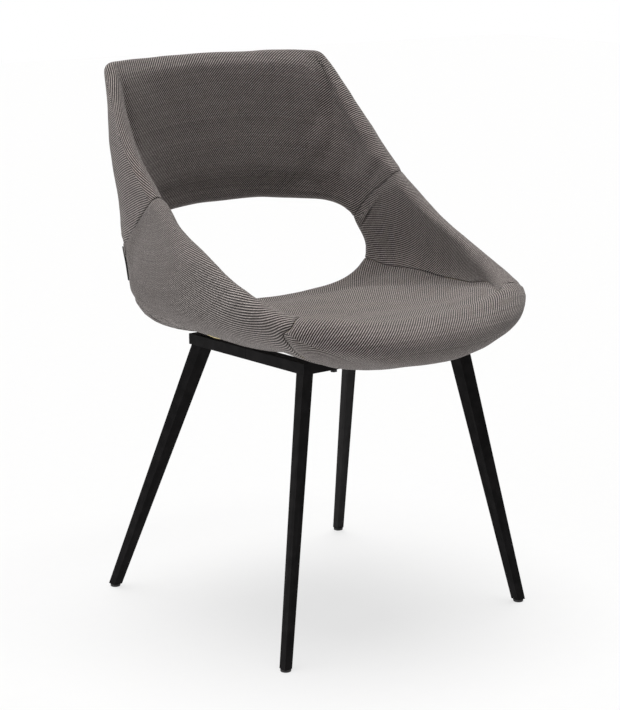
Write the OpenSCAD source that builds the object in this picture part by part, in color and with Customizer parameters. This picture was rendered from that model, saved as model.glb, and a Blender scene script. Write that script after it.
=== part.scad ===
// Dining chair: an upholstered bucket shell with an open back,
// standing on a flat rectangular steel frame with four splayed legs.

/* [Legs] */
// Half distance between the left and right feet
foot_x = 226; // [190:1:250]
// Front foot position, forward of the origin
foot_front = 209; // [180:1:235]
// Rear foot position, behind the origin
foot_rear = 233; // [200:1:260]
// Long half diagonal of the leg section at the top
leg_top_p = 16.5; // [13:0.5:18]
// Short half diagonal of the leg section at the top
leg_top_q = 12; // [10:0.5:14]
// Long half diagonal of the leg section at the foot
leg_foot_p = 10.5; // [9:0.5:13]
// Short half diagonal of the leg section at the foot
leg_foot_q = 9; // [8:0.5:11]
// Wall thickness of the leg tube
leg_wall = 1.6; // [1:0.1:2.5]
// Height of the plastic glide under each leg
glide_h = 4; // [3:0.5:6]

/* [Frame] */
// Height of the underside of the rails at the rear bolts
rail_z = 404.5; // [385:0.5:406]
// Rise of the frame from the rear bolts to the front bolts
frame_rise = 5; // [0:0.5:7]
// Height of the rail section
rail_h = 16; // [12:1:16]
// Width of the rail section
rail_w = 20; // [16:1:24]
// Wall thickness of the rails
rail_wall = 1.5; // [1:0.1:2.5]
// Half width of the frame over the side rails
frame_x = 161; // [150:1:166]
// Front face of the frame, forward of the origin
frame_front = 168; // [160:1:172]
// Rear face of the frame, behind the origin
frame_rear = 113; // [105:1:120]
// Joint of the side rails, forward of the origin
joint_y = 30; // [10:1:60]

/* [Shell] */
// Half thickness of the moulded core
core_t = 4.5; // [3.5:0.5:6]
// Thickness of the fabric cover
cover_t = 1.6; // [1.2:0.2:2.2]
// Gap left between neighbouring soft pieces
skin_gap = 0.3; // [0.2:0.1:0.5]

/* [Fasteners] */
// Shank diameter of the seat bolts
bolt_d = 6; // [5:1:8]
// Half distance between the left and right seat bolts
bolt_x = 100; // [80:1:110]

/* [Hidden] */

rail_top = rail_z + rail_h;
bolt_front = frame_front - rail_w / 2;
bolt_rear = frame_rear - rail_w / 2;
frame_tilt = asin(frame_rise / (bolt_front + bolt_rear));
leg_y_front = frame_front - 19.7;
leg_y_rear = frame_rear - 13.2;
leg_x_front = frame_x - 16.7;
leg_x_rear = frame_x - 15.7;
steel = [0.10, 0.095, 0.10];
black = [0.07, 0.07, 0.07];
cloth = [0.40, 0.375, 0.36];
foam_c = [0.85, 0.80, 0.62];
wood_c = [0.72, 0.58, 0.42];
zinc = [0.70, 0.70, 0.72];

// ---------------------------------------------------------------
// Shell surface.  The shell is described by cross-sections in planes
// that all contain one line parallel to X (the fan line).  At each
// angle a station gives
// [angle, centre radius, rim radius, half width, squareness,
//  half thickness at the centre, half thickness at the rim, side bulge,
//  softness of the turn-up towards the rim]
// ---------------------------------------------------------------
fan_y = -63.7;
fan_z = 760;
stations = [
    [-130, 393, 348, 142, 2.4, 29.5, 21.0,  0, 1.55],
    [-122, 363, 317, 183, 2.3, 29.5, 19.5,  0, 1.65],
    [-116, 350, 296, 206, 3.3, 30.0, 17.0,  0, 1.65],
    [-108, 328, 266, 222, 3.9, 22.0, 14.0,  2, 1.55],
    [ -97, 322, 233, 229, 4.6, 16.0, 12.5,  5, 1.30],
    [ -84, 324, 212, 230, 5.0, 12.5, 12.5,  8, 1.00],
    [ -70, 342, 203, 231, 5.0, 11.5, 13.0, 10, 0.90],
    [ -56, 390, 202, 232, 4.6, 12.0, 13.0, 10, 0.90],
    [ -44, 406, 204, 229, 3.6, 11.5, 12.5,  3, 0.95],
    [ -30, 369, 214, 228, 2.9, 11.5, 11.5,  0, 0.95],
    [ -18, 343, 233, 226, 2.7, 12.5, 11.5,  0, 0.95],
    [  -6, 335, 262, 219, 2.7, 13.5, 11.0,  0, 1.05],
    [   4, 339, 299, 207, 2.5, 13.0, 10.5,  0, 1.25],
    [  12, 349, 342, 193, 2.2, 11.5, 10.0,  0, 1.50]
];
nst = len(stations);

// Opening between seat and back, in station angle and width share
hole_mid = -41;
hole_side = 0.675;
hole_up = 14.5;
hole_down = 15.5;
hole_droop = 3.5;
// Reach of the shell above and below the opening, in degrees
shell_up = 49.2;
shell_down = 81.5;

function slope(k, i) =
    i == 0 ? (stations[1][k] - stations[0][k]) / (stations[1][0] - stations[0][0])
    : i == nst - 1 ? (stations[i][k] - stations[i - 1][k]) / (stations[i][0] - stations[i - 1][0])
    : (stations[i + 1][k] - stations[i - 1][k]) / (stations[i + 1][0] - stations[i - 1][0]);
function find_st(t, i = 0) =
    (i >= nst - 2 || t <= stations[i + 1][0]) ? i : find_st(t, i + 1);
function herm(t, k, i) =
    let (h = stations[i + 1][0] - stations[i][0],
         u = (t - stations[i][0]) / h, u2 = u * u, u3 = u2 * u)
    (2 * u3 - 3 * u2 + 1) * stations[i][k] + (u3 - 2 * u2 + u) * h * slope(k, i)
    + (3 * u2 - 2 * u3) * stations[i + 1][k] + (u3 - u2) * h * slope(k, i + 1);

// Point of the middle surface at angle t and width share s (-1 to 1)
function surf(t, s) =
    let (i = find_st(t),
         rc = herm(t, 1, i), rr = herm(t, 2, i), w = herm(t, 3, i),
         n = herm(t, 4, i), bg = herm(t, 7, i),
         al = abs(s) * 90, sa = sin(al), ca = max(cos(al), 0),
         rho = pow(pow(sa, n) + pow(ca, n), 1 / n),
         b = pow(ca / rho, herm(t, 8, i)),
         r = rr + (rc - rr) * b)
    [sign(s) * (w + bg * 4 * b * (1 - b)) * sa / rho,
     fan_y + r * cos(t), fan_z + r * sin(t)];
function half_t(t, s) =
    let (i = find_st(t), hc = herm(t, 5, i), hr = herm(t, 6, i))
    hc + (hr - hc) * pow(abs(s), 1.5);

// Direction a runs round the opening: 0 up, 90 to +X, 180 to the front
function squircle(a, n) =
    let (r = pow(pow(abs(cos(a)), n) + pow(abs(sin(a)), n), -1 / n))
    [r * sin(a), r * cos(a)];
function dom(a, r) =
    let (up = cos(a) >= 0,
         h = squircle(a, up ? 3.2 : 3.3),
         o = squircle(a, up ? 18 : 5),
         ht = (up ? hole_up * h[1] - hole_droop * h[0] * h[0] : hole_down * h[1]),
         ot = (up ? shell_up : shell_down) * o[1],
         hs = hole_side * h[0], os = o[0])
    [hole_mid + ht + (ot - ht) * r, hs + (os - hs) * r];
function unit(v) = v / norm(v);
function mid_p(a, r) = let (q = dom(a, r)) surf(q[0], q[1]);
function mid_n(a, r) =
    let (q = dom(a, r), e = 0.002,
         s1 = min(q[1] + e, 1), s0 = max(q[1] - e, -1))
    unit(cross(surf(q[0], s1) - surf(q[0], s0),
               surf(q[0] + 0.05, q[1]) - surf(q[0] - 0.05, q[1])));
function half_at(a, r, d, fixed) =
    let (q = dom(a, r)) fixed > 0 ? fixed : half_t(q[0], q[1]) - d;

// Closed section loop at direction a.  d is the inset from the outer
// skin; fixed > 0 gives a constant half thickness instead.
nr = 8;
nb = 4;
function edge_dir(a, r, n) =
    let (t = unit(mid_p(a + 0.1, r) - mid_p(a - 0.1, r)),
         e = unit(cross(t, n)),
         q = mid_p(a, r == 0 ? 0.05 : 0.95) - mid_p(a, r))
    e * q > 0 ? -e : e;
function loop_at(a, d, fixed) =
    let (n1 = mid_n(a, 1), n0 = mid_n(a, 0),
         e1 = edge_dir(a, 1, n1), e0 = edge_dir(a, 0, n0),
         h1 = half_at(a, 1, d, fixed), h0 = half_at(a, 0, d, fixed))
    concat(
        [for (j = [0 : nr]) let (r = j / nr) mid_p(a, r) + mid_n(a, r) * half_at(a, r, d, fixed)],
        [for (k = [1 : nb - 1]) let (b = 180 * k / nb) mid_p(a, 1) + h1 * (cos(b) * n1 + sin(b) * e1)],
        [for (j = [nr : -1 : 0]) let (r = j / nr) mid_p(a, r) - mid_n(a, r) * half_at(a, r, d, fixed)],
        [for (k = [1 : nb - 1]) let (b = 180 * k / nb) mid_p(a, 0) + h0 * (-cos(b) * n0 + sin(b) * e0)]);
ml = 2 * (nr + 1) + 2 * (nb - 1);
// Steps round the opening, closer together at the four corners
function warp(t) = t + 9 * sin(4 * t);
function unwarp(a, t, k) = k == 0 ? t : unwarp(a, t - (warp(t) - a) / (1 + 0.6283 * cos(4 * t)), k - 1);

// Ring-shaped solid of constant half thickness
module ring_solid(n, fixed) {
    loops = [for (i = [0 : n - 1]) loop_at(warp(i * 360 / n), 0, fixed)];
    pts = [for (l = loops) for (p = l) p];
    faces = [for (i = [0 : n - 1]) for (j = [0 : ml - 1])
        let (i2 = (i + 1) % n, j2 = (j + 1) % ml)
        each [[i * ml + j, i * ml + j2, i2 * ml + j2], [i * ml + j, i2 * ml + j2, i2 * ml + j]]];
    polyhedron(pts, faces, convexity = 8);
}

// Sleeve between two nested section loops, from direction a0 to a1
module sleeve(a0, a1, n, d0, d1, fixed1 = 0) {
    t0 = unwarp(a0, a0, 12);
    t1 = unwarp(a1, a1, 12);
    outer = [for (i = [0 : n]) loop_at(warp(t0 + (t1 - t0) * i / n), d0, 0)];
    inner = [for (i = [0 : n]) loop_at(warp(t0 + (t1 - t0) * i / n), d1, fixed1)];
    no = (n + 1) * ml;
    pts = concat([for (l = outer) for (p = l) p], [for (l = inner) for (p = l) p]);
    sides = [for (i = [0 : n - 1]) for (j = [0 : ml - 1])
        let (j2 = (j + 1) % ml, a = i * ml + j, b = i * ml + j2,
             c = (i + 1) * ml + j2, e = (i + 1) * ml + j)
        each [[a, b, c], [a, c, e], [no + a, no + c, no + b], [no + a, no + e, no + c]]];
    caps = [for (j = [0 : ml - 1])
        let (j2 = (j + 1) % ml, m = n * ml)
        each [[j, no + j, no + j2], [j, no + j2, j2],
              [m + j, no + m + j2, no + m + j], [m + j, m + j2, no + m + j2]]];
    polyhedron(pts, concat(sides, caps), convexity = 8);
}

seam_back = 87;
seam_seat = 138;
seam_g = 0.12;

module cover(a0, a1, n) sleeve(a0 + seam_g, a1 - seam_g, n, 0, cover_t);
module foam(a0, a1, n) sleeve(a0 + seam_g, a1 - seam_g, n, cover_t + skin_gap, 0, core_t + skin_gap);

// ---------------------------------------------------------------
// Steelwork
// ---------------------------------------------------------------
// The frame rises a little towards the front
module tilted() translate([0, bolt_rear, rail_z]) rotate([-frame_tilt, 0, 0])
    translate([0, -bolt_rear, -rail_z]) children();
// Four corners of a diamond section with its long diagonal along dir;
// slope makes it follow the underside of the frame
function diamond(cx, cy, z, p, q, dir, slope = 0) = [
    for (k = [0 : 3]) let (a = dir + 90 * k, r = k % 2 == 0 ? p : q, y = cy + r * sin(a))
        [cx + r * cos(a), y, z + slope * (bolt_rear - y)]];
module taper(lo, hi) {
    polyhedron(concat(lo, hi),
        [[0, 1, 2], [0, 2, 3], [4, 6, 5], [4, 7, 6],
         [0, 5, 1], [0, 4, 5], [1, 6, 2], [1, 5, 6],
         [2, 7, 3], [2, 6, 7], [3, 4, 0], [3, 7, 4]]);
}
// sx, sy: side of the chair; fy, ty: foot and top distance from the origin
module leg(sx, sy, fy, tx, ty) {
    dir = atan2(sy, sx);
    w = leg_wall * 1.5;
    t = tan(frame_tilt);
    color(steel) difference() {
        taper(diamond(sx * foot_x, sy * fy, glide_h, leg_foot_p, leg_foot_q, dir),
              diamond(sx * tx, sy * ty, rail_z, leg_top_p, leg_top_q, dir, t));
        taper(diamond(sx * (foot_x + 0.2), sy * (fy + 0.2), glide_h - 1, leg_foot_p - w, leg_foot_q - w, dir),
              diamond(sx * (tx - 0.2), sy * (ty - 0.2), rail_z + 1, leg_top_p - w, leg_top_q - w, dir, t));
    }
}
module glide(sx, sy, fy) {
    r = leg_foot_q - 1.2;
    color(black) translate([sx * foot_x, sy * fy, 0]) rotate_extrude($fn = 48)
        polygon([[0, 0], [r - 1.2, 0], [r - 0.35, 0.35], [r, 1.2], [r, glide_h], [0, glide_h]]);
}
module tube_x(x0, x1, y, d) {
    color(steel) difference() {
        translate([x0, y - rail_w / 2, rail_z]) cube([x1 - x0, rail_w, rail_h]);
        translate([x0 - 1, y - rail_w / 2 + rail_wall, rail_z + rail_wall])
            cube([x1 - x0 + 2, rail_w - 2 * rail_wall, rail_h - 2 * rail_wall]);
        for (s = [-1, 1]) translate([s * bolt_x, y, rail_z - 1]) cylinder(h = rail_h + 2, d = d, $fn = 32);
    }
}
module side_tube(s, y0, y1) {
    x = s * (frame_x - rail_w / 2);
    color(steel) difference() {
        translate([x - rail_w / 2, y0, rail_z]) cube([rail_w, y1 - y0, rail_h]);
        translate([x - rail_w / 2 + rail_wall, y0 + (y0 < -joint_y - 1 ? 2 : -1), rail_z + rail_wall])
            cube([rail_w - 2 * rail_wall, y1 - y0 - 1, rail_h - 2 * rail_wall]);
        translate([x, -joint_y + (y0 < -joint_y - 1 ? -12 : 12), rail_z - 1]) cylinder(h = rail_wall + 2, d = 5.2, $fn = 32);
    }
}
module joiner(s) {
    x = s * (frame_x - rail_w / 2);
    w = rail_w - 2 * rail_wall - 0.6;
    h = rail_h - 2 * rail_wall - 0.6;
    color(zinc) difference() {
        translate([x - w / 2, -joint_y - 30, rail_z + rail_wall + 0.3]) cube([w, 60, h]);
        translate([x - w / 2 + 1.5, -joint_y - 31, rail_z + rail_wall + 2.3]) cube([w - 3, 62, h - 3.5]);
        for (k = [-12, 12]) translate([x, -joint_y + k, rail_z]) cylinder(h = 6, d = 4.2, $fn = 32);
    }
}
module screw(x, y) {
    translate([x, y, rail_z]) {
        rotate([180, 0, 0]) rotate_extrude($fn = 40)
            polygon([[0, 0.1], [4.6, 0.1], [4.4, 1.2], [3.4, 2.2], [1.8, 2.8], [0, 3]]);
        translate([0, 0, -0.2]) cylinder(h = 4.6, d = 4, $fn = 32);
    }
}

module leg_front_left() leg(-1, -1, foot_front, leg_x_front, leg_y_front);
module leg_front_right() leg(1, -1, foot_front, leg_x_front, leg_y_front);
module leg_rear_left() leg(-1, 1, foot_rear, leg_x_rear, leg_y_rear);
module leg_rear_right() leg(1, 1, foot_rear, leg_x_rear, leg_y_rear);
module glide_front_left() glide(-1, -1, foot_front);
module glide_front_right() glide(1, -1, foot_front);
module glide_rear_left() glide(-1, 1, foot_rear);
module glide_rear_right() glide(1, 1, foot_rear);

module front_rail() tilted() tube_x(-frame_x + rail_w, frame_x - rail_w, -bolt_front, bolt_d + 0.6);
module rear_rail() tilted() tube_x(-frame_x + rail_w, frame_x - rail_w, bolt_rear, bolt_d + 0.6);
module side_rail_front_left() tilted() side_tube(-1, -frame_front, -joint_y - 0.4);
module side_rail_front_right() tilted() side_tube(1, -frame_front, -joint_y - 0.4);
module side_rail_rear_left() tilted() side_tube(-1, -joint_y + 0.4, frame_rear);
module side_rail_rear_right() tilted() side_tube(1, -joint_y + 0.4, frame_rear);
module joiner_left() tilted() joiner(-1);
module joiner_right() tilted() joiner(1);
module joiner_screws() color(black) tilted()
    for (s = [-1, 1]) for (k = [-12, 12]) screw(s * (frame_x - rail_w / 2), -joint_y + k);

// Seat bolts go up through the cross rails into T-nuts in the core
function bolt_ys() = [-bolt_front, bolt_rear];
// Top of the core over each bolt, before the tilt: front pair, rear pair
nut_z = [448.1, 438.9];
// Underside of the cover over each bolt: front pair, rear pair
pad_z = [422.8, 421.8];
module at_bolts() {
    for (s = [-1, 1]) for (k = [0, 1]) {
        $k = k;
        tilted() translate([s * bolt_x, bolt_ys()[k], 0]) children();
    }
}
module seat_bolts() color(zinc) at_bolts() {
    translate([0, 0, rail_z - 1.3 - 4]) cylinder(h = 4, d = 10, $fn = 6);
    translate([0, 0, rail_z - 2]) cylinder(h = nut_z[$k] - rail_z + 1, d = bolt_d, $fn = 32);
}
module bolt_washers() color(zinc)
    for (s = [-1, 1]) for (y = bolt_ys()) tilted() translate([s * bolt_x, y, rail_z - 1.2]) difference() {
        cylinder(h = 1.2, d = 13, $fn = 40);
        translate([0, 0, -1]) cylinder(h = 4, d = bolt_d + 0.4, $fn = 32);
    }

module seat_spacers() color(black) at_bolts() difference() {
    translate([0, 0, rail_top]) cylinder(h = pad_z[$k] - rail_top, d = 18, $fn = 48);
    translate([0, 0, rail_top - 1]) cylinder(h = 8, d = bolt_d + 0.6, $fn = 32);
}
module t_nuts() color(zinc) at_bolts() difference() {
    union() {
        translate([0, 0, nut_z[$k] + 0.6]) cylinder(h = 1.4, d = 18, $fn = 40);
        translate([0, 0, nut_z[$k] - 7.5]) cylinder(h = 8.5, d = bolt_d + 2.4, $fn = 32);
    }
    translate([0, 0, nut_z[$k] - 10]) cylinder(h = 20, d = bolt_d + 0.2, $fn = 32);
}

// ---------------------------------------------------------------
// Shell, foam and covers
// ---------------------------------------------------------------
module shell_core() color(wood_c) difference() {
    ring_solid(72, core_t);
    at_bolts() translate([0, 0, nut_z[$k] - 20]) cylinder(h = 40, d = bolt_d + 3, $fn = 32);
}
module seat_foam() color(foam_c) difference() {
    foam(seam_seat, 360 - seam_seat, 18);
    at_bolts() translate([0, 0, nut_z[$k] - 40]) cylinder(h = 42.5, d = 18.8, $fn = 32);
}
module wing_foam_right() color(foam_c) foam(seam_back, seam_seat, 12);
module wing_foam_left() color(foam_c) foam(360 - seam_seat, 360 - seam_back, 12);
module back_foam() color(foam_c) foam(-seam_back, seam_back, 32);
module seat_cover() color(cloth) difference() {
    cover(seam_seat, 360 - seam_seat, 18);
    at_bolts() translate([0, 0, rail_top - 2]) cylinder(h = 18, d = bolt_d + 1.4, $fn = 32);
}
module wing_cover_right() color(cloth) cover(seam_back, seam_seat, 12);
module wing_cover_left() color(cloth) cover(360 - seam_seat, 360 - seam_back, 12);
module back_cover() color(cloth) cover(-seam_back, seam_back, 32);

// Closing tape along the rear edge of the opening
module tape(a0, a1) {
    n = 12;
    sec = function (a)
        let (m = mid_p(a, 0), n0 = mid_n(a, 0), e0 = edge_dir(a, 0, n0), h = half_at(a, 0, 0, 0))
        [for (q = [[18, 0.3], [46, 0.3], [46, 1.9], [18, 1.9]])
            m + (h + q[1]) * (-cos(q[0]) * n0 + sin(q[0]) * e0)];
    pts = [for (i = [0 : n]) each sec(a0 + (a1 - a0) * i / n)];
    faces = concat([[0, 1, 2], [0, 2, 3], [4 * n, 4 * n + 2, 4 * n + 1], [4 * n, 4 * n + 3, 4 * n + 2]],
        [for (i = [0 : n - 1]) for (j = [0 : 3]) let (j2 = (j + 1) % 4, a = 4 * i + j, b = 4 * i + j2)
            each [[a, b + 4, b], [a, a + 4, b + 4]]]);
    polyhedron(pts, faces, convexity = 4);
}
module closing_tape_right() color(black) tape(seam_back + 2, 122);
module closing_tape_left() color(black) mirror([1, 0, 0]) tape(seam_back + 2, 122);

leg_front_left();
leg_front_right();
leg_rear_left();
leg_rear_right();
glide_front_left();
glide_front_right();
glide_rear_left();
glide_rear_right();
front_rail();
rear_rail();
side_rail_front_left();
side_rail_front_right();
side_rail_rear_left();
side_rail_rear_right();
joiner_left();
joiner_right();
joiner_screws();
seat_bolts();
bolt_washers();
seat_spacers();
t_nuts();
shell_core();
seat_foam();
wing_foam_left();
wing_foam_right();
back_foam();
seat_cover();
wing_cover_left();
wing_cover_right();
back_cover();
closing_tape_left();
closing_tape_right();
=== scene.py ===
import bpy
import bmesh
import math
import numpy as np
from mathutils import Vector, Matrix, noise


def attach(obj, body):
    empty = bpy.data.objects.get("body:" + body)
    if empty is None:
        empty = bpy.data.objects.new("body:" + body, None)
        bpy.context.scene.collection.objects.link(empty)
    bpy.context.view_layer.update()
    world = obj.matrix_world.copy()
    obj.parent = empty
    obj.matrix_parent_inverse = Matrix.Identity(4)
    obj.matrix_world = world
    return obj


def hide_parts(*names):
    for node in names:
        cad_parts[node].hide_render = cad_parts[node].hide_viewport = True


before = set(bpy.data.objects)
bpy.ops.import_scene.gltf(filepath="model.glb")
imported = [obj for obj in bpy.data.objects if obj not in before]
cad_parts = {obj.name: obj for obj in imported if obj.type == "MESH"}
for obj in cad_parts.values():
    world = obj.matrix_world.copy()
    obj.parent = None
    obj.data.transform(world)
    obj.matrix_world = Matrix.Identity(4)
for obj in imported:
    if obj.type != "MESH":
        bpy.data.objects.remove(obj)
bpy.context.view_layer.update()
scene = bpy.context.scene

# ------------------------------------------------------------------
# Camera: the photograph's viewing angle, solved from the four legs
# ------------------------------------------------------------------
CAM_AZ, CAM_EL, CAM_D = -38.14, 13.30, 2.9234
CAM_TARGET = Vector((-0.0218, -0.0040, 0.3883))


def make_camera():
    a, e = math.radians(CAM_AZ), math.radians(CAM_EL)
    back = Vector((math.sin(a) * math.cos(e), -math.cos(a) * math.cos(e), math.sin(e)))
    cam = bpy.data.cameras.new("photo_camera")
    cam.sensor_width = 36.0
    cam.sensor_fit = "AUTO"
    cam.lens = 1945.22 * 36.0 / 710.0
    cam.clip_start, cam.clip_end = 0.05, 60.0
    cam.dof.use_dof = False
    ob = bpy.data.objects.new("photo_camera", cam)
    scene.collection.objects.link(ob)
    ob.location = CAM_TARGET + back * CAM_D
    ob.rotation_mode = "QUATERNION"
    ob.rotation_quaternion = (-back).to_track_quat("-Z", "Y")
    scene.camera = ob


make_camera()

# ------------------------------------------------------------------
# The shell's surface: the same stations as the CAD model
# ------------------------------------------------------------------
FAN_Y, FAN_Z = -63.7, 760.0
ST = np.array([
    [-130, 393, 348, 142, 2.4, 29.5, 21.0,  0, 1.55],
    [-122, 363, 317, 183, 2.3, 29.5, 19.5,  0, 1.65],
    [-116, 350, 296, 206, 3.3, 30.0, 17.0,  0, 1.65],
    [-108, 328, 266, 222, 3.9, 22.0, 14.0,  2, 1.55],
    [ -97, 322, 233, 229, 4.6, 16.0, 12.5,  5, 1.30],
    [ -84, 324, 212, 230, 5.0, 12.5, 12.5,  8, 1.00],
    [ -70, 342, 203, 231, 5.0, 11.5, 13.0, 10, 0.90],
    [ -56, 390, 202, 232, 4.6, 12.0, 13.0, 10, 0.90],
    [ -44, 406, 204, 229, 3.6, 11.5, 12.5,  3, 0.95],
    [ -30, 369, 214, 228, 2.9, 11.5, 11.5,  0, 0.95],
    [ -18, 343, 233, 226, 2.7, 12.5, 11.5,  0, 0.95],
    [  -6, 335, 262, 219, 2.7, 13.5, 11.0,  0, 1.05],
    [   4, 339, 299, 207, 2.5, 13.0, 10.5,  0, 1.25],
    [  12, 349, 342, 193, 2.2, 11.5, 10.0,  0, 1.50],
], float)


# The two seams of the right side, as directions round the opening, where r
# runs from the opening (0) to the rim (1).  The left side is their mirror.
def ease(x):
    x = np.clip(x, 0, 1)
    return x * x * (3 - 2 * x)


def seam_back(r, inner):
    inside = 73.5 + 22.0 * r - 6.5 * r**2
    outside = 73.5 + (12.8 + 2.7 * r) * ease(r / 0.14)
    return np.where(inner, inside, outside)


def seam_seat(r, inner):
    inside = 131.0 + 19.0 * r - 10.5 * ease((r - 0.62) / 0.38)
    outside = 131.0 + (138.5 + 28.5 * ease((1 - r) / 0.22) - 131.0) * ease(r / 0.3)
    return np.where(inner, inside, outside)


def station(t, k):
    x, y = ST[:, 0], ST[:, k]
    m = np.zeros_like(y)
    m[1:-1] = (y[2:] - y[:-2]) / (x[2:] - x[:-2])
    m[0] = (y[1] - y[0]) / (x[1] - x[0])
    m[-1] = (y[-1] - y[-2]) / (x[-1] - x[-2])
    i = np.clip(np.searchsorted(x, t) - 1, 0, len(x) - 2)
    h = x[i + 1] - x[i]
    u = (t - x[i]) / h
    return ((2 * u**3 - 3 * u**2 + 1) * y[i] + (u**3 - 2 * u**2 + u) * h * m[i]
            + (3 * u**2 - 2 * u**3) * y[i + 1] + (u**3 - u**2) * h * m[i + 1])


def surf(t, s):
    rc, rr, w, n = station(t, 1), station(t, 2), station(t, 3), station(t, 4)
    al = np.abs(s) * np.pi / 2
    sa, ca = np.sin(al), np.clip(np.cos(al), 0, 1)
    rho = (sa**n + ca**n) ** (1 / n)
    b = np.clip(ca / rho, 0, 1) ** station(t, 8)
    x = (w + station(t, 7) * 4 * b * (1 - b)) * np.sign(s) * sa / rho
    r = rr + (rc - rr) * b
    q = np.radians(t)
    return np.stack([x, FAN_Y + r * np.cos(q), FAN_Z + r * np.sin(q)], -1)


def half_t(t, s):
    return station(t, 5) + (station(t, 6) - station(t, 5)) * np.abs(s) ** 1.5


def squircle(c, s, n):
    r = (np.abs(c) ** n + np.abs(s) ** n) ** (-1 / n)
    return r * s, r * c


def domain(a, r):
    q = np.radians(a)
    c, s = np.cos(q), np.sin(q)
    up = c >= 0
    h = squircle(c, s, np.where(up, 3.2, 3.3))
    o = squircle(c, s, np.where(up, 18.0, 5.0))
    ht = np.where(up, 14.5 * h[1] - 3.5 * h[0] ** 2, 15.5 * h[1])
    ot = np.where(up, 49.2, 81.5) * o[1]
    hs = 0.675 * h[0]
    return -41 + ht + (ot - ht) * r, hs + (o[0] - hs) * r


def unit(v):
    return v / np.maximum(np.linalg.norm(v, axis=-1, keepdims=True), 1e-12)


def mid_p(a, r):
    t, s = domain(a, r)
    return surf(t, s)


def mid_n(a, r):
    t, s = domain(a, r)
    e = 2e-3
    dv = surf(t, np.clip(s + e, -1, 1)) - surf(t, np.clip(s - e, -1, 1))
    du = surf(t + 0.05, s) - surf(t - 0.05, s)
    return unit(np.cross(dv, du))


def edge_dir(a, r, n):
    t = unit(mid_p(a + 0.1, r + 0 * a) - mid_p(a - 0.1, r + 0 * a))
    e = unit(np.cross(t, n))
    q = mid_p(a, (0.05 if r == 0 else 0.95) + 0 * a) - mid_p(a, r + 0 * a)
    return e * -np.sign(np.sum(e * q, -1, keepdims=True))


# ------------------------------------------------------------------
# Node helpers
# ------------------------------------------------------------------
class Nodes:
    def __init__(self, name):
        self.mat = bpy.data.materials.new(name)
        self.mat.use_nodes = True
        self.t = self.mat.node_tree
        self.t.nodes.clear()
        self.out = self.t.nodes.new("ShaderNodeOutputMaterial")
        self.bsdf = self.t.nodes.new("ShaderNodeBsdfPrincipled")
        self.t.links.new(self.bsdf.outputs[0], self.out.inputs[0])

    def put(self, sock, v):
        if isinstance(v, bpy.types.NodeSocket):
            self.t.links.new(v, sock)
        elif v is not None:
            sock.default_value = v

    def math(self, op, a, b=None, c=None, clamp=False):
        n = self.t.nodes.new("ShaderNodeMath")
        n.operation = op
        n.use_clamp = clamp
        for i, v in enumerate((a, b, c)):
            self.put(n.inputs[i], v)
        return n.outputs[0]

    def mapped(self, v, lo, hi, a, b, smooth=False):
        n = self.t.nodes.new("ShaderNodeMapRange")
        n.interpolation_type = "SMOOTHSTEP" if smooth else "LINEAR"
        for i, x in enumerate((v, lo, hi, a, b)):
            self.put(n.inputs[i], x)
        return n.outputs[0]

    def mix(self, f, a, b, kind="MIX"):
        n = self.t.nodes.new("ShaderNodeMix")
        n.data_type = "RGBA"
        n.blend_type = kind
        self.put(n.inputs[0], f)
        self.put(n.inputs[6], a if isinstance(a, bpy.types.NodeSocket) else (*a, 1.0))
        self.put(n.inputs[7], b if isinstance(b, bpy.types.NodeSocket) else (*b, 1.0))
        return n.outputs[2]

    def pos(self):
        return self.t.nodes.new("ShaderNodeTexCoord").outputs["Object"]

    def uv(self, name):
        n = self.t.nodes.new("ShaderNodeUVMap")
        n.uv_map = name
        s = self.t.nodes.new("ShaderNodeSeparateXYZ")
        self.t.links.new(n.outputs[0], s.inputs[0])
        return s.outputs[0], s.outputs[1]

    def vec(self, x, y, z=0.0):
        n = self.t.nodes.new("ShaderNodeCombineXYZ")
        for i, v in enumerate((x, y, z)):
            self.put(n.inputs[i], v)
        return n.outputs[0]

    def scaled(self, v, s):
        n = self.t.nodes.new("ShaderNodeMapping")
        self.put(n.inputs[0], v)
        n.inputs["Scale"].default_value = s
        return n.outputs[0]

    def noise(self, v, scale, detail=2.0, rough=0.5):
        n = self.t.nodes.new("ShaderNodeTexNoise")
        self.put(n.inputs["Vector"], v)
        n.inputs["Scale"].default_value = scale
        n.inputs["Detail"].default_value = detail
        n.inputs["Roughness"].default_value = rough
        return n.outputs[0]

    def white(self, v):
        n = self.t.nodes.new("ShaderNodeTexWhiteNoise")
        n.noise_dimensions = "2D"
        self.put(n.inputs["Vector"], v)
        return n.outputs[0]

    def voronoi(self, v, scale, feature="F1"):
        n = self.t.nodes.new("ShaderNodeTexVoronoi")
        n.feature = feature
        self.put(n.inputs["Vector"], v)
        n.inputs["Scale"].default_value = scale
        return n.outputs[0]

    def bump(self, h, dist, strength=1.0, normal=None):
        n = self.t.nodes.new("ShaderNodeBump")
        n.inputs["Strength"].default_value = strength
        n.inputs["Distance"].default_value = dist
        self.put(n.inputs["Height"], h)
        if normal is not None:
            self.put(n.inputs["Normal"], normal)
        return n.outputs[0]

    def set(self, **kw):
        names = dict(color="Base Color", rough="Roughness", metal="Metallic", normal="Normal",
                     sheen="Sheen Weight", sheen_rough="Sheen Roughness", sheen_tint="Sheen Tint",
                     spec="Specular IOR Level", coat="Coat Weight", coat_rough="Coat Roughness", ior="IOR")
        for k, v in kw.items():
            self.put(self.bsdf.inputs[names[k]], v)
        return self.mat


def lin(hexa):
    out = []
    for i in (0, 2, 4):
        c = int(hexa[i:i + 2], 16) / 255
        out.append(c / 12.92 if c < 0.04045 else ((c + 0.055) / 1.055) ** 2.4)
    return tuple(out)


# ------------------------------------------------------------------
# Materials
# ------------------------------------------------------------------
YARN = 1.1  # mm from one yarn to the next


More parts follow.
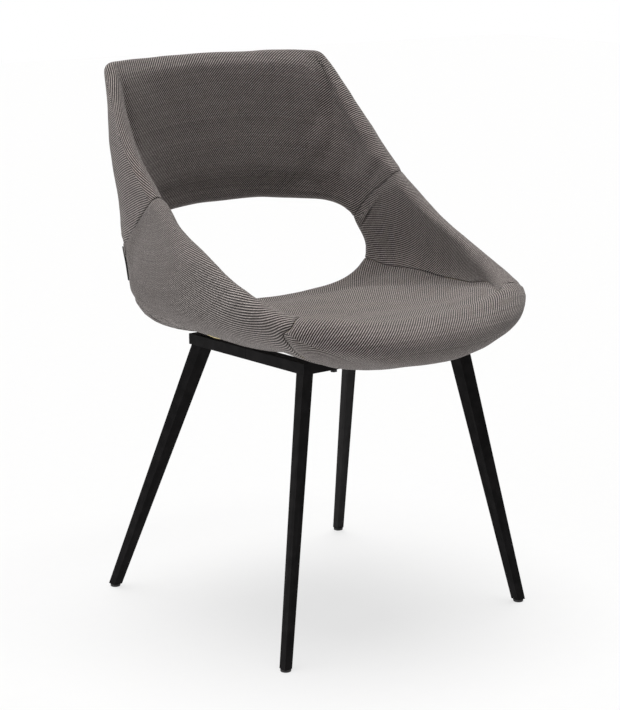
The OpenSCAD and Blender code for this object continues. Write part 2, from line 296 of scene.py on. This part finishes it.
def twill_material(name, sign=1.0):
    """A two-tone 2/2 twill: dark warp under a pale weft, worked out yarn by yarn from a flat map of the cloth in mm."""
    m = Nodes(name)
    x, y = m.uv("cloth")
    wob = m.noise(m.vec(x, y), 24.0, 1.0)
    wob2 = m.noise(m.vec(y, x), 17.0, 1.0)
    u = m.math("DIVIDE", m.math("ADD", m.math("MULTIPLY", x, 1000.0 * sign), m.math("MULTIPLY", wob, 2.2)), YARN)
    v = m.math("DIVIDE", m.math("ADD", m.math("MULTIPLY", y, 1000.0), m.math("MULTIPLY", wob2, 2.2)), YARN)
    iu, iv = m.math("FLOOR", u), m.math("FLOOR", v)
    fu, fv = m.math("SUBTRACT", m.math("SUBTRACT", u, iu), 0.5), m.math("SUBTRACT", m.math("SUBTRACT", v, iv), 0.5)
    # the height of a warp yarn (along v) and of a weft yarn (along u)
    ph_w = m.math("MULTIPLY", m.math("ADD", iu, m.math("ADD", iv, fv)), math.pi / 2)
    ph_f = m.math("MULTIPLY", m.math("ADD", iv, m.math("ADD", iu, fu)), math.pi / 2)
    warp = m.math("SUBTRACT", m.math("SINE", ph_w), m.math("MULTIPLY", m.math("MULTIPLY", fu, fu), 3.4))
    weft = m.math("SUBTRACT", m.math("MULTIPLY", m.math("SINE", ph_f), -1.0),
                  m.math("MULTIPLY", m.math("MULTIPLY", fv, fv), 3.4))
    top = m.mapped(m.math("SUBTRACT", weft, warp), 0.1, 0.45, 0.0, 1.0)
    height = m.math("MAXIMUM", warp, weft)
    # yarns differ from one another and along their length
    seed_w = m.white(m.vec(iu, 3.0))
    seed_f = m.white(m.vec(7.0, iv))
    fleck = m.white(m.vec(iu, iv))
    slub = m.noise(m.vec(m.math("MULTIPLY", x, 90.0), m.math("MULTIPLY", y, 900.0)), 1.0, 2.0)
    patch = m.noise(m.vec(x, y), 11.0, 3.0, 0.6)
    dark = m.mix(m.math("MULTIPLY", m.math("ADD", seed_w, fleck), 0.5), lin("0c0b0b"), lin("231f1e"))
    pale = m.mix(m.math("MULTIPLY", m.math("ADD", seed_f, fleck), 0.5), lin("a29894"), lin("dcd2cd"))
    pale = m.mix(m.mapped(slub, 0.35, 0.7, 0.0, 0.5), pale, lin("7c726f"))
    col = m.mix(top, dark, pale)
    # painted shade: the hollows between the yarns are darkened, where their own shadow would fall
    col = m.mix(m.mapped(height, -0.5, 0.75, 0.8, 0.0), col, lin("0e0c0c"))
    col = m.mix(m.mapped(patch, 0.38, 0.66, 0.0, 0.16), col, lin("6a615e"))
    fuzz = m.noise(m.vec(m.math("MULTIPLY", x, 2600.0), m.math("MULTIPLY", y, 2600.0)), 1.0, 2.0)
    n1 = m.bump(height, 0.00042, 0.9)
    n2 = m.bump(fuzz, 0.00010, 0.5, n1)
    rough = m.mapped(fleck, 0.0, 1.0, 0.82, 0.97)
    return m.set(color=col, rough=rough, normal=n2, sheen=0.28, sheen_rough=0.45,
                 sheen_tint=(0.9, 0.86, 0.84, 1.0), spec=0.22)


def steel_material():
    m = Nodes("satin_black_steel")
    p = m.pos()
    peel = m.noise(p, 900.0, 2.0)
    wide = m.noise(p, 14.0, 3.0)
    geo = m.t.nodes.new("ShaderNodeNewGeometry")
    # lighter on the sharp edges: partly rubbed wear of the coat, partly a painted highlight along the edges
    edge = m.mapped(geo.outputs["Pointiness"], 0.51, 0.60, 0.0, 1.0)
    edge_wear_and_highlight = m.math("MULTIPLY", edge, m.mapped(m.noise(p, 60.0, 3.0), 0.4, 0.65, 0.05, 0.25))
    col = m.mix(m.mapped(wide, 0.35, 0.65, 0.0, 1.0), lin("080708"), lin("0b0a0a"))
    col = m.mix(edge_wear_and_highlight, col, lin("2c292a"))
    rough = m.math("ADD", m.mapped(wide, 0.3, 0.7, 0.40, 0.44), m.math("MULTIPLY", peel, 0.08))
    return m.set(color=col, rough=rough, normal=m.bump(peel, 0.00005, 0.35), spec=0.05)


def plastic_material(name, a, b, rough=0.55, grain=1500.0):
    m = Nodes(name)
    p = m.pos()
    g = m.voronoi(p, grain)
    w = m.noise(p, 30.0, 3.0)
    col = m.mix(m.mapped(w, 0.3, 0.7, 0.0, 1.0), lin(a), lin(b))
    return m.set(color=col, rough=m.mapped(w, 0.3, 0.7, rough - 0.06, rough + 0.08),
                 normal=m.bump(g, 0.00008, 0.4), spec=0.4)


def metal_material(name, a, b, rough=0.32, metal=1.0):
    m = Nodes(name)
    p = m.pos()
    f = m.noise(m.scaled(p, (1.0, 1.0, 4.0)), 260.0, 3.0)
    w = m.noise(p, 45.0, 3.0)
    col = m.mix(m.mapped(w, 0.35, 0.65, 0.0, 1.0), lin(a), lin(b))
    return m.set(color=col, metal=metal, rough=m.mapped(f, 0.3, 0.7, rough - 0.07, rough + 0.14),
                 normal=m.bump(f, 0.00004, 0.3))


def wood_material():
    m = Nodes("bent_plywood")
    p = m.pos()
    warp = m.noise(p, 4.0, 3.0)
    s = m.t.nodes.new("ShaderNodeSeparateXYZ")
    m.t.links.new(p, s.inputs[0])
    along = m.vec(m.math("MULTIPLY", s.outputs[0], 260.0),
                  m.math("MULTIPLY", s.outputs[1], 14.0), m.math("MULTIPLY", s.outputs[2], 14.0))
    grain = m.noise(along, 1.0, 5.0, 0.6)
    ring = m.math("SINE", m.math("ADD", m.math("MULTIPLY", warp, 60.0), m.math("MULTIPLY", s.outputs[0], 180.0)))
    col = m.mix(m.mapped(grain, 0.35, 0.65, 0.0, 1.0), lin("a67c4c"), lin("d1ab77"))
    col = m.mix(m.mapped(ring, -1.0, 1.0, 0.0, 0.35), col, lin("8a6136"))
    return m.set(color=col, rough=m.mapped(grain, 0.3, 0.7, 0.55, 0.72), normal=m.bump(grain, 0.0002, 0.5))


def foam_material():
    m = Nodes("seat_foam_open_cell")
    p = m.pos()
    cell = m.voronoi(p, 900.0)
    wide = m.noise(p, 9.0, 3.0)
    col = m.mix(m.mapped(wide, 0.35, 0.65, 0.0, 1.0), lin("e2d39e"), lin("d0bd80"))
    col = m.mix(m.mapped(cell, 0.25, 0.6, 0.0, 0.35), col, lin("a8945c"))
    return m.set(color=col, rough=0.95, normal=m.bump(cell, 0.0004, 0.8), sheen=0.1, spec=0.2)


def tape_material():
    m = Nodes("closing_tape_grosgrain")
    x, y = m.uv("cloth")
    rib = m.math("SINE", m.math("MULTIPLY", y, 1000.0 * math.pi * 2 / 0.9))
    thr = m.math("SINE", m.math("MULTIPLY", x, 1000.0 * math.pi * 2 / 0.5))
    h = m.math("ADD", rib, m.math("MULTIPLY", thr, 0.35))
    # painted shade: darker in the hollows between the ribs and lighter on their crests, following the rib height
    col = m.mix(m.mapped(h, -1.2, 1.2, 0.0, 1.0), lin("0b0a0a"), lin("2a2728"))
    return m.set(color=col, rough=m.mapped(rib, -1.0, 1.0, 0.75, 0.9), normal=m.bump(h, 0.00015, 0.8),
                 sheen=0.2, spec=0.2)


MAT_TWILL = twill_material("two_tone_twill", -1.0)
MAT_STEEL = steel_material()
MAT_ZINC = metal_material("zinc_plate", "a9acb0", "c9ccd0")
MAT_SCREW = metal_material("black_oxide_screw", "1a1a1b", "2b2a2b", 0.42, 0.6)
MAT_GLIDE = plastic_material("black_glide_plastic", "161515", "222021", 0.5)
MAT_RUBBER = plastic_material("spacer_rubber", "131313", "1d1c1c", 0.78, 900.0)
MAT_WOOD = wood_material()
MAT_FOAM = foam_material()
MAT_TAPE = tape_material()

# ------------------------------------------------------------------
# Frame: CAD nodes keep their shape and get a finish
# ------------------------------------------------------------------
FINISH = {
    "leg": MAT_STEEL, "front_rail": MAT_STEEL, "rear_rail": MAT_STEEL, "side_rail": MAT_STEEL,
    "joiner_screws": MAT_SCREW, "joiner": MAT_STEEL, "glide": MAT_GLIDE, "seat_bolts": MAT_SCREW,
    "bolt_washers": MAT_SCREW, "t_nuts": MAT_ZINC, "seat_spacers": MAT_RUBBER, "shell_core": MAT_WOOD,
}
for node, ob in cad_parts.items():
    for start, mat in FINISH.items():
        if node.startswith(start):
            ob.data.materials.clear()
            ob.data.materials.append(mat)
            break


# ------------------------------------------------------------------
# Upholstery
# ------------------------------------------------------------------
def mesh_object(name, co, faces, mat, smooth=True):
    me = bpy.data.meshes.new(name)
    me.from_pydata([tuple(c) for c in co], [], faces)
    me.update()
    if smooth:
        me.polygons.foreach_set("use_smooth", [True] * len(me.polygons))
    me.materials.append(mat)
    ob = bpy.data.objects.new(name, me)
    scene.collection.objects.link(ob)
    return ob


def get_co(me):
    c = np.empty(len(me.vertices) * 3)
    me.vertices.foreach_get("co", c)
    return c.reshape(-1, 3)


def set_co(me, c):
    me.vertices.foreach_set("co", np.asarray(c).reshape(-1))
    me.update()


def put_attr(me, name, val):
    a = me.attributes.new(name, "FLOAT", "POINT")
    a.data.foreach_set("value", np.asarray(val, float).reshape(-1))


def get_attr(me, name):
    v = np.empty(len(me.vertices))
    me.attributes[name].data.foreach_get("value", v)
    return v


class Waves:
    """Smooth seeded noise: a sum of plane waves of about the given length in mm."""

    def __init__(self, seed, length, count=14):
        g = np.random.default_rng(seed)
        d = g.normal(size=(count, 3))
        self.k = unit(d) * (2 * np.pi / (length * g.uniform(0.7, 1.5, (count, 1))))
        self.ph = g.uniform(0, 2 * np.pi, count)

    def __call__(self, mm):
        return np.sin(mm @ self.k.T + self.ph).sum(1) / math.sqrt(len(self.ph) / 2)


def panel_rows(lo, hi, step):
    """Shares from 0 to 1 across a panel: close together by the seams, then about step mm apart."""
    a0, a1 = float(lo(0.62, True)), float(hi(0.62, True))
    aa = np.linspace(a0, a1, 600)
    p = mid_p(aa, 0.62 + 0 * aa)
    run = np.concatenate([[0], np.cumsum(np.linalg.norm(np.diff(p, axis=0), axis=1))])
    fine = np.array([0, 0.6, 1.4, 2.4, 3.8, 5.8, 8.6, 12.5])
    n = max(3, round((run[-1] - 2 * fine[-1]) / step))
    d = np.concatenate([fine, np.linspace(fine[-1], run[-1] - fine[-1], n + 1)[1:-1], run[-1] - fine[::-1]])
    return (np.interp(d, run, aa) - a0) / (a1 - a0)


def seam_inset(d, roll=2.6, deep=1.0, wide=13.0):
    """How far the skin sinks at d mm from a seam: a soft valley and a tight roll into the stitch line."""
    x = np.clip(roll - d, 0, roll)
    return roll - np.sqrt(np.maximum(roll**2 - x**2, 0)) + deep * np.exp(-(d / wide) ** 2 * 1.8)


def build_panel(name, lo, hi, mat, nr=36, nb=7, step=7.0, inset=0.0, seams=True, rim_cut=False):
    u = panel_rows(lo, hi, step)[:, None]
    R = np.tile(np.linspace(0, 1, nr + 1), (len(u), 1))

    def sheet_of(inner):
        a, b = lo(R, inner), hi(R, inner)
        A = a + (b - a) * u
        p, n = mid_p(A, R), mid_n(A, R)
        t, s = domain(A, R)
        run = np.concatenate([np.zeros((1, nr + 1)), np.cumsum(np.linalg.norm(np.diff(p, axis=0), axis=2), 0)])
        D = np.minimum(run, run[-1] - run)
        h = half_t(t, s) - inset - (seam_inset(D) if seams else 0.0)
        return A, p, n, h[..., None], D, run

    A, p, n, h, D, run = sheet_of(True)
    Ao, po, no, ho, Do, runo = sheet_of(False)
    n1, n0 = n[:, -1], n[:, 0]
    e1, e0 = edge_dir(A[:, -1], 1.0, n1), edge_dir(A[:, 0], 0.0, n0)
    be = np.linspace(0, np.pi, nb + 1)[1:-1]
    rim = [p[:, -1] + h[:, -1] * (math.cos(b) * n1 + math.sin(b) * e1) for b in be]
    hol = [p[:, 0] + h[:, 0] * (-math.cos(b) * n0 + math.sin(b) * e0) for b in be]
    co = np.concatenate([p + n * h, np.stack(rim, 1), (po - no * ho)[:, ::-1], np.stack(hol, 1)], 1)
    nd = nb - 1
    dist = np.concatenate([D, np.repeat(D[:, -1:], nd, 1), Do[:, ::-1], np.repeat(D[:, :1], nd, 1)], 1)
    run = np.concatenate([run, np.repeat(run[:, -1:], nd, 1), runo[:, ::-1], np.repeat(run[:, :1], nd, 1)], 1)
    rho = np.concatenate([R, np.ones((len(u), nd)), R[:, ::-1], np.zeros((len(u), nd))], 1)
    face = np.concatenate([np.ones((len(u), nr + 1)), np.tile(np.cos(be), (len(u), 1)),
                           -np.ones((len(u), nr + 1)), -np.tile(np.cos(be), (len(u), 1))], 1)
    na, m = co.shape[:2]
    idx = np.arange(na * m).reshape(na, m)
    faces = []
    for i in range(na - 1):
        for k in range(m):
            k2 = (k + 1) % m
            faces.append((idx[i, k], idx[i, k2], idx[i + 1, k2], idx[i + 1, k]))
    side = len(faces)
    # closed ends, which lie inside the seams: down to the middle surface,
    # along it where the inner and outer seams part, and on to the other face
    o0 = nr + nb
    steps = 6
    extra, base = [], na * m
    for i, turn in ((0, 1), (na - 1, -1)):
        r = [int(q) for q in idx[i]]
        wall = []
        for j in range(nr + 1):
            k = np.linspace(0, 1, steps + 1) if 0 < j < nr else np.zeros(1)
            q = mid_p(A[i, j] + (Ao[i, j] - A[i, j]) * k, R[i, j] + 0 * k)
            ids = [base + len(extra) + x for x in range(len(q))]
            extra.extend(q)
            wall.append([r[j]] + (ids if len(ids) > 1 else ids * (steps + 1)) + [r[o0 + nr - j]])
        for j in range(nr):
            for k in range(steps + 2):
                f = [wall[j][k], wall[j][k + 1], wall[j + 1][k + 1], wall[j + 1][k]]
                f = [v for x, v in enumerate(f) if v != f[x - 1]]
                if len(f) > 2:
                    faces.append(tuple(f[::turn]))
        for ring, mid in ((r[nr:o0 + 1], wall[nr][1]), ([*r[o0 + nr:], r[0]], wall[0][1])):
            for x, y in zip(ring, ring[1:]):
                faces.append((mid, y, x)[::turn])
    ne = len(extra)
    dist, run = np.append(dist, np.zeros(ne)), np.append(run, np.zeros(ne))
    rho, face = np.append(rho, np.full(ne, 0.5)), np.append(face, np.zeros(ne))
    co = np.concatenate([co.reshape(-1, 3), np.array(extra)])
    faces = [tuple(int(q) for q in f) for f in faces]
    vol = 0.0
    for f in faces[:side]:
        q = co[list(f)]
        vol += np.dot(q[0], np.cross(q[1], q[2])) + np.dot(q[0], np.cross(q[2], q[3]))
    if vol < 0:
        faces = [f[::-1] for f in faces]
    ob = mesh_object(name, co / 1000, faces, mat)
    me = ob.data
    put_attr(me, "dist", dist)
    put_attr(me, "along", run)
    put_attr(me, "rho", rho)
    put_attr(me, "face", face)
    # cuts of the cloth: by the opening, at the ends, and along the rim where asked
    cut = set()
    for i in range(na - 1):
        cut.add(frozenset((int(idx[i, o0 + nr]), int(idx[i + 1, o0 + nr]))))
        if rim_cut:
            cut.add(frozenset((int(idx[i, o0]), int(idx[i + 1, o0]))))
    for i in (0, na - 1):
        for k in range(m):
            cut.add(frozenset((int(idx[i, k]), int(idx[i, (k + 1) % m]))))
    for e in me.edges:
        if frozenset(e.vertices) in cut:
            e.use_seam = True
    return ob


def flat_cloth(ob, up):
    """Lays the cloth out flat, in metres, with the direction up along its V."""
    me = ob.data
    me.uv_layers.new(name="cloth")
    bpy.context.view_layer.objects.active = ob
    for o in bpy.context.selected_objects:
        o.select_set(False)
    ob.select_set(True)
    bpy.ops.object.mode_set(mode="EDIT")
    bpy.ops.mesh.select_all(action="SELECT")
    bpy.ops.uv.select_all(action="SELECT")
    bpy.ops.uv.unwrap(method="MINIMUM_STRETCH", fill_holes=False, margin=0.001)
    bpy.ops.object.mode_set(mode="OBJECT")
    # islands: faces joined across edges that are not seams
    nf = len(me.polygons)
    root = list(range(nf))

    def find(i):
        while root[i] != i:
            root[i] = root[root[i]]
            i = root[i]
        return i

    by_edge = {}
    seam = {frozenset(e.vertices) for e in me.edges if e.use_seam}
    for f in me.polygons:
        for k in f.edge_keys:
            k = frozenset(k)
            if k in seam:
                continue
            if k in by_edge:
                root[find(f.index)] = find(by_edge[k])
            else:
                by_edge[k] = f.index
    uv = np.empty(len(me.loops) * 2)
    me.uv_layers["cloth"].data.foreach_get("uv", uv)
    uv = uv.reshape(-1, 2)
    co = get_co(me)
    groups = {}
    for f in me.polygons:
        groups.setdefault(find(f.index), []).append(f)
    up = np.array(up, float)
    for fs in groups.values():
        # seen from outside, never mirrored
        turn = 0.0
        for f in fs:
            w = uv[list(f.loop_indices)[:3]]
            w1, w2 = w[1] - w[0], w[2] - w[0]
            turn += w1[0] * w2[1] - w1[1] * w2[0]
        if turn < 0:
            uv[[i for f in fs for i in f.loop_indices], 0] *= -1
        area3 = area2 = 0.0
        d = np.zeros(2)
        for f in fs:
            li = list(f.loop_indices)[:3]
            q, w = co[[me.loops[i].vertex_index for i in li]], uv[li]
            e1, e2, w1, w2 = q[1] - q[0], q[2] - q[0], w[1] - w[0], w[2] - w[0]
            nrm = np.cross(e1, e2)
            a3 = np.linalg.norm(nrm)
            a2 = abs(w1[0] * w2[1] - w1[1] * w2[0])
            if a3 < 1e-12:
                continue
            area3 += a3
            area2 += a2
            g = up - nrm * np.dot(up, nrm) / a3**2
            m = np.linalg.lstsq(np.stack([e1, e2], 1), g, rcond=None)[0]
            d += a3 * unit((m[0] * w1 + m[1] * w2)[None])[0]
        k = math.sqrt(area3 / max(area2, 1e-18))
        d = unit(d[None])[0]
        rot = np.array([[d[1], -d[0]], [d[0], d[1]]])  # takes d to +V
        li = [i for f in fs for i in f.loop_indices]
        uv[li] = (uv[li] @ rot.T) * k
    me.uv_layers["cloth"].data.foreach_set("uv", uv.reshape(-1))


def simulate(ob, cap_in, cap_out, pressure=4.0, frames=20):
    """Blows the pad up a little with cloth pressure, held at its seams, and keeps each point within the cap."""
    me = ob.data
    rest = get_co(me)
    dist, rho, face = get_attr(me, "dist"), get_attr(me, "rho"), get_attr(me, "face")
    pin = ob.vertex_groups.new(name="pin")
    w = np.clip((26 - dist) / 18, 0, 1)
    w = np.maximum(w, np.clip((0.12 - rho) / 0.10, 0, 1) * 0.9)
    for lv in np.unique(np.round(w, 1)):
        ids = np.nonzero(np.round(w, 1) == lv)[0].tolist()
        if lv > 0:
            pin.add(ids, float(lv), "REPLACE")
    c = ob.modifiers.new("cloth", "CLOTH")
    st = c.settings
    st.quality = 4
    st.mass = 0.35
    st.tension_stiffness = st.compression_stiffness = 12
    st.shear_stiffness = 6
    st.bending_stiffness = 1.2
    st.use_pressure = True
    st.uniform_pressure_force = pressure
    st.vertex_group_mass = "pin"
    st.effector_weights.gravity = 0
    c.point_cache.frame_start, c.point_cache.frame_end = 1, frames
    for f in range(1, frames + 1):
        scene.frame_set(f)
    dg = bpy.context.evaluated_depsgraph_get()
    ev = ob.evaluated_get(dg)
    em = ev.to_mesh()
    out = get_co(em).copy()
    ev.to_mesh_clear()
    ob.modifiers.clear()
    ob.vertex_groups.clear()
    scene.frame_set(1)
    d = out - rest
    # the pad only swells: keep what goes outward, within the cap
    nrm = np.empty(len(me.vertices) * 3)
    me.vertex_normals.foreach_get("vector", nrm)
    nrm = nrm.reshape(-1, 3)
    out = np.sum(d * nrm, axis=1)
    cap = np.where(face > 0, cap_in, cap_out) / 1000
    print("cloth", ob.name, "mm out", (np.percentile(out, (1, 25, 50, 75, 99)) * 1000).round(1).tolist())
    up = np.where(out > 0, cap * np.tanh(out / cap), np.maximum(out, -0.0006))
    set_co(me, rest + nrm * up[:, None])


def subdivide(ob, levels=1):
    s = ob.modifiers.new("sub", "SUBSURF")
    s.levels = s.render_levels = levels
    s.uv_smooth = "PRESERVE_BOUNDARIES"
    dg = bpy.context.evaluated_depsgraph_get()
    me = bpy.data.meshes.new_from_object(ob.evaluated_get(dg), preserve_all_data_layers=True, depsgraph=dg)
    ob.modifiers.clear()
    old = ob.data
    ob.data = me
    bpy.data.meshes.remove(old)
    me.name = ob.name
    me.polygons.foreach_set("use_smooth", [True] * len(me.polygons))


def dress(ob, seed):
    """Seam puckers and slack in the cloth, as real displacement of the mesh."""
    me = ob.data
    co = get_co(me)
    mm = co * 1000
    nrm = np.empty(len(me.vertices) * 3)
    me.vertex_normals.foreach_get("vector", nrm)
    nrm = nrm.reshape(-1, 3)
    dist, rho, along = get_attr(me, "dist"), get_attr(me, "rho"), get_attr(me, "along")
    slack = Waves(seed, 95)(mm) * 0.55 + Waves(seed + 1, 42)(mm) * 0.16
    pk = Waves(seed + 2, 15)(mm) * 0.34 + Waves(seed + 3, 27)(mm) * 0.30
    near = np.exp(-((dist - 7) / 9) ** 2) * np.clip(dist / 2.5, 0, 1)
    off = slack * np.clip(dist / 20, 0, 1) + pk * near
    set_co(me, co + nrm * off[:, None] / 1000)


def mirror(f):
    return lambda r, inner: 360.0 - f(r, inner)


def minus(f):
    return lambda r, inner: -f(r, inner)


def at(a):
    return lambda r, inner: a + 0.0 * r


def back_left(r, inner):
    return 360.0 - seam_back(r, inner)


PADS = [
    # name, CAD nodes, from, to, up, cap inside, cap outside, fill, seed, cut along the rim
    ("seat_pad", ("seat_cover",), seam_seat, mirror(seam_seat), (0, 1, 0), 6.0, 2.0, 0.85, 11, True),
    ("wing_pad_right", ("wing_cover_right",), seam_back, seam_seat, (0, 0, 1), 4.5, 2.0, 0.85, 23, False),
    ("wing_pad_left", ("wing_cover_left",), mirror(seam_seat), back_left, (0, 0, 1), 4.5, 2.0, 0.85, 37, False),
    ("back_pad", ("back_cover",), minus(seam_back), seam_back, (0, 0, 1), 4.5, 2.0, 0.85, 53, True),
]
for name, nodes, a0, a1, up, ci, co_, fill, seed, rim_cut in PADS:
    pad = build_panel(name, a0, a1, MAT_TWILL, rim_cut=rim_cut)
    flat_cloth(pad, up)
    simulate(pad, ci, co_)
    subdivide(pad)
    dress(pad, seed)
    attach(pad, "root")
    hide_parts(*nodes)

FOAMS = [
    ("seat_foam_pad", "seat_foam", at(138), at(222), 71),
    ("wing_foam_pad_right", "wing_foam_right", at(87), at(138), 73),
    ("wing_foam_pad_left", "wing_foam_left", at(222), at(273), 79),
    ("back_foam_pad", "back_foam", at(-87), at(87), 83),
]
for name, node, a0, a1, seed in FOAMS:
    foam = build_panel(name, a0, a1, MAT_FOAM, nr=22, nb=5, step=10.0, inset=4.0)
    dress(foam, seed)
    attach(foam, "root")
    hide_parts(node)


def closing_tape(name, node, side):
    """The narrow tape over the zip end, along the rear edge of the opening."""
    a = np.linspace(89, 122, 90)
    n0 = mid_n(a, 0.0 * a)
    e0 = edge_dir(a, 0.0, n0)
    p = mid_p(a, 0.0 * a)
    t, s = domain(a, 0.0 * a)
    h = half_t(t, s)[:, None]
    prof = []
    for b in np.linspace(18, 46, 9):
        prof.append((b, 1.9 - 0.7 * abs((b - 32) / 14) ** 3))
    for b in np.linspace(46, 18, 5):
        prof.append((b, 0.35))
    rows = []
    for b, proud in prof:
        q = math.radians(b)
        rows.append(p + (h + proud) * (-math.cos(q) * n0 + math.sin(q) * e0))
    co = np.stack(rows, 1)
    co[..., 0] *= side
    na, m = co.shape[:2]
    idx = np.arange(na * m).reshape(na, m)
    faces = []
    for i in range(na - 1):
        for k in range(m):
            k2 = (k + 1) % m
            faces.append([int(q) for q in (idx[i, k], idx[i, k2], idx[i + 1, k2], idx[i + 1, k])])
    faces.append([int(q) for q in idx[0][::-1]])
    faces.append([int(q) for q in idx[-1]])
    ob = mesh_object(name, co.reshape(-1, 3) / 1000, faces, MAT_TAPE)
    me = ob.data
    bm = bmesh.new()
    bm.from_mesh(me)
    bmesh.ops.recalc_face_normals(bm, faces=bm.faces)
    bm.to_mesh(me)
    bm.free()
    run = np.concatenate([[0], np.cumsum(np.linalg.norm(np.diff(p, axis=0), axis=1))]) / 1000
    uvl = me.uv_layers.new(name="cloth")
    for f in me.polygons:
        for li in f.loop_indices:
            v = me.loops[li].vertex_index
            i, k = divmod(v, m)
            uvl.data[li].uv = (k * 0.001, run[i])
    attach(ob, "root")
    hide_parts(node)
    return ob


closing_tape("zip_tape_right", "closing_tape_right", 1)
closing_tape("zip_tape_left", "closing_tape_left", -1)

# ------------------------------------------------------------------
# Floor, light and colour
# ------------------------------------------------------------------
bm = bmesh.new()
bmesh.ops.create_grid(bm, x_segments=2, y_segments=2, size=9.0)
me = bpy.data.meshes.new("studio_floor")
bm.to_mesh(me)
bm.free()
floor = bpy.data.objects.new("studio_floor", me)
scene.collection.objects.link(floor)
fl = Nodes("pale_floor")
fn = fl.noise(fl.pos(), 40.0, 3.0)
me.materials.append(fl.set(color=fl.mix(fn, (0.155, 0.155, 0.155), (0.165, 0.165, 0.165)), rough=0.9, spec=0.1))
fl.bsdf.inputs["Emission Color"].default_value = (1, 1, 1, 1)
fl.bsdf.inputs["Emission Strength"].default_value = 0.72

world = bpy.data.worlds.new("studio")
world.use_nodes = True
wt = world.node_tree
bg = wt.nodes["Background"]
bg.inputs[0].default_value = (0.98, 0.99, 1.0, 1)
bg.inputs[1].default_value = 0.18
white = wt.nodes.new("ShaderNodeBackground")
white.inputs[0].default_value = (1, 1, 1, 1)
white.inputs[1].default_value = 1.0
path = wt.nodes.new("ShaderNodeLightPath")
pick = wt.nodes.new("ShaderNodeMixShader")
wt.links.new(path.outputs["Is Camera Ray"], pick.inputs[0])
wt.links.new(bg.outputs[0], pick.inputs[1])
wt.links.new(white.outputs[0], pick.inputs[2])
wt.links.new(pick.outputs[0], wt.nodes["World Output"].inputs[0])
scene.world = world


def sun(name, direction, strength, angle, color=(1, 1, 1)):
    """A very wide soft light from direction, which points from the chair to the light."""
    d = bpy.data.lights.new(name, "SUN")
    d.energy = strength
    d.angle = math.radians(angle)
    d.color = color
    o = bpy.data.objects.new(name, d)
    scene.collection.objects.link(o)
    o.location = Vector(direction) * 3
    o.rotation_mode = "QUATERNION"
    o.rotation_quaternion = (-Vector(direction)).to_track_quat("-Z", "Y")
    return o


sun("top_soft", (0.05, 0.06, 1.0), 4.4, 46, (1.0, 0.99, 0.98))
sun("left_fill", (-1.0, 0.10, 0.14), 1.45, 60, (0.98, 0.99, 1.0))

scene.view_settings.view_transform = "Standard"
scene.view_settings.look = "None"
scene.view_settings.exposure = 0.0
scene.view_settings.gamma = 1.0
